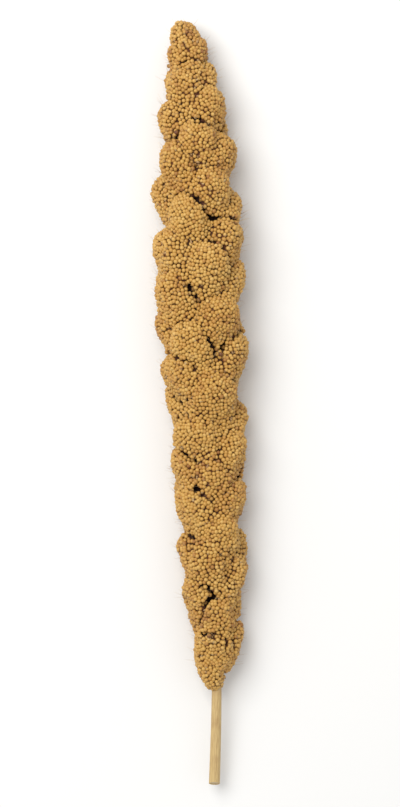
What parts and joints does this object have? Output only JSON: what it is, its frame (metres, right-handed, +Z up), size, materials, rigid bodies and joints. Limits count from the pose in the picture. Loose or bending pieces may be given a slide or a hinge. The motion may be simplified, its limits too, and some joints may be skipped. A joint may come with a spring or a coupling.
{
  "type": "foxtail millet head",
  "caption": "Dried foxtail millet head, a long dense spike of grain-covered lobes that tapers to its tip, lying on its side with a short cut stalk in its base.",
  "frame": {"origin": "under the middle of the object's box, on the surface that the head rests on", "axes": "+Y from the cut end of the stem to the tip of the head, +Z up"},
  "size_m": [0.0351, 0.2787, 0.0304],
  "materials": {
    "grain": "dry grain with a slight gloss",
    "straw": "dry ridged straw"
  },
  "bodies": {
    "root": {"seed_head": "grain", "stem": "straw"}
  },
  "joints": []
}
